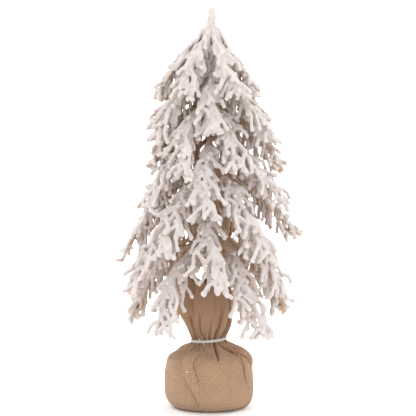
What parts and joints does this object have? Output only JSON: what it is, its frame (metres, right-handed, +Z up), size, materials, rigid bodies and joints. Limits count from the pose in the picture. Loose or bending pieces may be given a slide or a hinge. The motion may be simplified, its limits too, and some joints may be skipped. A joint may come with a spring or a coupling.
{
  "type": "artificial tabletop tree",
  "caption": "Slim tabletop fir with drooping snow-flocked sprays on a thin trunk, standing in a weighted pot wrapped in gathered burlap with a cord tie.",
  "frame": {"origin": "centre of the flat underside of the burlap-wrapped base, on the surface that the tree stands on", "axes": "+Z up along the trunk, -Y towards the side with the cord's knot and the diagonal cloth corner, +X to the right seen from that side"},
  "size_m": [0.2066, 0.2011, 0.4572],
  "materials": {
    "flock": "matte",
    "burlap": "matte",
    "tie_cord": "satin",
    "pot_plastic": "matte",
    "cement": "matte",
    "rod_steel": "satin",
    "wire_steel": "satin",
    "trunk_paper": "matte",
    "floral_tape": "matte"
  },
  "bodies": {
    "trunk_and_base": {"burlap_wrap": "burlap", "tie_cord": "tie_cord", "tie_knot": "tie_cord", "plastic_pot": "pot_plastic", "cement_fill": "cement", "trunk_rod": "rod_steel", "trunk_paper_wrap": "trunk_paper", "leader_tip": "flock", "leader_wire": "wire_steel", "tape_band_1": "floral_tape", "tape_band_2": "floral_tape", "tape_band_3": "floral_tape", "tape_band_4": "floral_tape", "tape_band_5": "floral_tape", "tape_band_6": "floral_tape", "tape_band_7": "floral_tape"},
    "spray_1a": {"spray_1a": "flock"},
    "spray_1b": {"spray_1b": "flock"},
    "spray_1c": {"spray_1c": "flock"},
    "spray_1d": {"spray_1d": "flock"},
    "spray_1e": {"spray_1e": "flock"},
    "spray_1f": {"spray_1f": "flock"},
    "spray_2a": {"spray_2a": "flock"},
    "spray_2b": {"spray_2b": "flock"},
    "spray_2c": {"spray_2c": "flock"},
    "spray_2d": {"spray_2d": "flock"},
    "spray_2e": {"spray_2e": "flock"},
    "spray_2f": {"spray_2f": "flock"},
    "spray_3a": {"spray_3a": "flock"},
    "spray_3b": {"spray_3b": "flock"},
    "spray_3c": {"spray_3c": "flock"},
    "spray_3d": {"spray_3d": "flock"},
    "spray_3e": {"spray_3e": "flock"},
    "spray_3f": {"spray_3f": "flock"},
    "spray_4a": {"spray_4a": "flock"},
    "spray_4b": {"spray_4b": "flock"},
    "spray_4c": {"spray_4c": "flock"},
    "spray_4d": {"spray_4d": "flock"},
    "spray_4e": {"spray_4e": "flock"},
    "spray_4f": {"spray_4f": "flock"},
    "spray_5a": {"spray_5a": "flock"},
    "spray_5b": {"spray_5b": "flock"},
    "spray_5c": {"spray_5c": "flock"},
    "spray_5d": {"spray_5d": "flock"},
    "spray_5e": {"spray_5e": "flock"},
    "spray_5f": {"spray_5f": "flock"},
    "spray_6a": {"spray_6a": "flock"},
    "spray_6b": {"spray_6b": "flock"},
    "spray_6c": {"spray_6c": "flock"},
    "spray_6d": {"spray_6d": "flock"},
    "spray_6e": {"spray_6e": "flock"},
    "spray_6f": {"spray_6f": "flock"},
    "spray_7a": {"spray_7a": "flock"},
    "spray_7b": {"spray_7b": "flock"},
    "spray_7c": {"spray_7c": "flock"},
    "spray_7d": {"spray_7d": "flock"},
    "spray_7e": {"spray_7e": "flock"},
    "spray_7f": {"spray_7f": "flock"}
  },
  "joints": [
    {"name": "bend_1a", "type": "hinge", "parent": "trunk_and_base", "child": "spray_1a", "pos_m": [0.0062, 0, 0.4275], "axis": [0, -1, 0], "range_deg": [0, 14]},
    {"name": "bend_1b", "type": "hinge", "parent": "trunk_and_base", "child": "spray_1b", "pos_m": [0.0031, 0.00537, 0.4275], "axis": [0.866, -0.5, 0], "range_deg": [0, 14]},
    {"name": "bend_1c", "type": "hinge", "parent": "trunk_and_base", "child": "spray_1c", "pos_m": [-0.0031, 0.00537, 0.4275], "axis": [0.866, 0.5, 0], "range_deg": [0, 14]},
    {"name": "bend_1d", "type": "hinge", "parent": "trunk_and_base", "child": "spray_1d", "pos_m": [-0.0062, 0, 0.4275], "axis": [0, 1, 0], "range_deg": [0, 14]},
    {"name": "bend_1e", "type": "hinge", "parent": "trunk_and_base", "child": "spray_1e", "pos_m": [-0.0031, -0.00537, 0.4275], "axis": [-0.866, 0.5, 0], "range_deg": [0, 14]},
    {"name": "bend_1f", "type": "hinge", "parent": "trunk_and_base", "child": "spray_1f", "pos_m": [0.0031, -0.00537, 0.4275], "axis": [-0.866, -0.5, 0], "range_deg": [0, 14]},
    {"name": "bend_2a", "type": "hinge", "parent": "trunk_and_base", "child": "spray_2a", "pos_m": [0.00537, 0.0031, 0.3899], "axis": [0.5, -0.866, 0], "range_deg": [0, 14]},
    {"name": "bend_2b", "type": "hinge", "parent": "trunk_and_base", "child": "spray_2b", "pos_m": [0, 0.0062, 0.3899], "axis": [1, 0, 0], "range_deg": [0, 14]},
    {"name": "bend_2c", "type": "hinge", "parent": "trunk_and_base", "child": "spray_2c", "pos_m": [-0.00537, 0.0031, 0.3899], "axis": [0.5, 0.866, 0], "range_deg": [0, 14]},
    {"name": "bend_2d", "type": "hinge", "parent": "trunk_and_base", "child": "spray_2d", "pos_m": [-0.00537, -0.0031, 0.3899], "axis": [-0.5, 0.866, 0], "range_deg": [0, 14]},
    {"name": "bend_2e", "type": "hinge", "parent": "trunk_and_base", "child": "spray_2e", "pos_m": [0, -0.0062, 0.3899], "axis": [-1, 0, 0], "range_deg": [0, 14]},
    {"name": "bend_2f", "type": "hinge", "parent": "trunk_and_base", "child": "spray_2f", "pos_m": [0.00537, -0.0031, 0.3899], "axis": [-0.5, -0.866, 0], "range_deg": [0, 14]},
    {"name": "bend_3a", "type": "hinge", "parent": "trunk_and_base", "child": "spray_3a", "pos_m": [0.007, 0, 0.3523], "axis": [0, -1, 0], "range_deg": [0, 14]},
    {"name": "bend_3b", "type": "hinge", "parent": "trunk_and_base", "child": "spray_3b", "pos_m": [0.0035, 0.00606, 0.3523], "axis": [0.866, -0.5, 0], "range_deg": [0, 14]},
    {"name": "bend_3c", "type": "hinge", "parent": "trunk_and_base", "child": "spray_3c", "pos_m": [-0.0035, 0.00606, 0.3523], "axis": [0.866, 0.5, 0], "range_deg": [0, 14]},
    {"name": "bend_3d", "type": "hinge", "parent": "trunk_and_base", "child": "spray_3d", "pos_m": [-0.007, 0, 0.3523], "axis": [0, 1, 0], "range_deg": [0, 14]},
    {"name": "bend_3e", "type": "hinge", "parent": "trunk_and_base", "child": "spray_3e", "pos_m": [-0.0035, -0.00606, 0.3523], "axis": [-0.866, 0.5, 0], "range_deg": [0, 14]},
    {"name": "bend_3f", "type": "hinge", "parent": "trunk_and_base", "child": "spray_3f", "pos_m": [0.0035, -0.00606, 0.3523], "axis": [-0.866, -0.5, 0], "range_deg": [0, 14]},
    {"name": "bend_4a", "type": "hinge", "parent": "trunk_and_base", "child": "spray_4a", "pos_m": [0.00606, 0.0035, 0.3147], "axis": [0.5, -0.866, 0], "range_deg": [0, 14]},
    {"name": "bend_4b", "type": "hinge", "parent": "trunk_and_base", "child": "spray_4b", "pos_m": [0, 0.007, 0.3147], "axis": [1, 0, 0], "range_deg": [0, 14]},
    {"name": "bend_4c", "type": "hinge", "parent": "trunk_and_base", "child": "spray_4c", "pos_m": [-0.00606, 0.0035, 0.3147], "axis": [0.5, 0.866, 0], "range_deg": [0, 14]},
    {"name": "bend_4d", "type": "hinge", "parent": "trunk_and_base", "child": "spray_4d", "pos_m": [-0.00606, -0.0035, 0.3147], "axis": [-0.5, 0.866, 0], "range_deg": [0, 14]},
    {"name": "bend_4e", "type": "hinge", "parent": "trunk_and_base", "child": "spray_4e", "pos_m": [0, -0.007, 0.3147], "axis": [-1, 0, 0], "range_deg": [0, 14]},
    {"name": "bend_4f", "type": "hinge", "parent": "trunk_and_base", "child": "spray_4f", "pos_m": [0.00606, -0.0035, 0.3147], "axis": [-0.5, -0.866, 0], "range_deg": [0, 14]},
    {"name": "bend_5a", "type": "hinge", "parent": "trunk_and_base", "child": "spray_5a", "pos_m": [0.0078, 0, 0.2771], "axis": [0, -1, 0], "range_deg": [0, 14]},
    {"name": "bend_5b", "type": "hinge", "parent": "trunk_and_base", "child": "spray_5b", "pos_m": [0.0039, 0.00675, 0.2771], "axis": [0.866, -0.5, 0], "range_deg": [0, 14]},
    {"name": "bend_5c", "type": "hinge", "parent": "trunk_and_base", "child": "spray_5c", "pos_m": [-0.0039, 0.00675, 0.2771], "axis": [0.866, 0.5, 0], "range_deg": [0, 14]},
    {"name": "bend_5d", "type": "hinge", "parent": "trunk_and_base", "child": "spray_5d", "pos_m": [-0.0078, 0, 0.2771], "axis": [0, 1, 0], "range_deg": [0, 14]},
    {"name": "bend_5e", "type": "hinge", "parent": "trunk_and_base", "child": "spray_5e", "pos_m": [-0.0039, -0.00675, 0.2771], "axis": [-0.866, 0.5, 0], "range_deg": [0, 14]},
    {"name": "bend_5f", "type": "hinge", "parent": "trunk_and_base", "child": "spray_5f", "pos_m": [0.0039, -0.00675, 0.2771], "axis": [-0.866, -0.5, 0], "range_deg": [0, 14]},
    {"name": "bend_6a", "type": "hinge", "parent": "trunk_and_base", "child": "spray_6a", "pos_m": [0.00675, 0.0039, 0.2395], "axis": [0.5, -0.866, 0], "range_deg": [0, 14]},
    {"name": "bend_6b", "type": "hinge", "parent": "trunk_and_base", "child": "spray_6b", "pos_m": [0, 0.0078, 0.2395], "axis": [1, 0, 0], "range_deg": [0, 12]},
    {"name": "bend_6c", "type": "hinge", "parent": "trunk_and_base", "child": "spray_6c", "pos_m": [-0.00675, 0.0039, 0.2395], "axis": [0.5, 0.866, 0], "range_deg": [0, 14]},
    {"name": "bend_6d", "type": "hinge", "parent": "trunk_and_base", "child": "spray_6d", "pos_m": [-0.00675, -0.0039, 0.2395], "axis": [-0.5, 0.866, 0], "range_deg": [0, 14]},
    {"name": "bend_6e", "type": "hinge", "parent": "trunk_and_base", "child": "spray_6e", "pos_m": [0, -0.0078, 0.2395], "axis": [-1, 0, 0], "range_deg": [0, 14]},
    {"name": "bend_6f", "type": "hinge", "parent": "trunk_and_base", "child": "spray_6f", "pos_m": [0.00675, -0.0039, 0.2395], "axis": [-0.5, -0.866, 0], "range_deg": [0, 14]},
    {"name": "bend_7a", "type": "hinge", "parent": "trunk_and_base", "child": "spray_7a", "pos_m": [0.0078, 0, 0.2019], "axis": [0, -1, 0], "range_deg": [0, 14]},
    {"name": "bend_7b", "type": "hinge", "parent": "trunk_and_base", "child": "spray_7b", "pos_m": [0.0039, 0.00675, 0.2019], "axis": [0.866, -0.5, 0], "range_deg": [0, 14]},
    {"name": "bend_7c", "type": "hinge", "parent": "trunk_and_base", "child": "spray_7c", "pos_m": [-0.0039, 0.00675, 0.2019], "axis": [0.866, 0.5, 0], "range_deg": [0, 14]},
    {"name": "bend_7d", "type": "hinge", "parent": "trunk_and_base", "child": "spray_7d", "pos_m": [-0.0078, 0, 0.2019], "axis": [0, 1, 0], "range_deg": [0, 14]},
    {"name": "bend_7e", "type": "hinge", "parent": "trunk_and_base", "child": "spray_7e", "pos_m": [-0.0039, -0.00675, 0.2019], "axis": [-0.866, 0.5, 0], "range_deg": [0, 14]},
    {"name": "bend_7f", "type": "hinge", "parent": "trunk_and_base", "child": "spray_7f", "pos_m": [0.0039, -0.00675, 0.2019], "axis": [-0.866, -0.5, 0], "range_deg": [0, 14]}
  ]
}
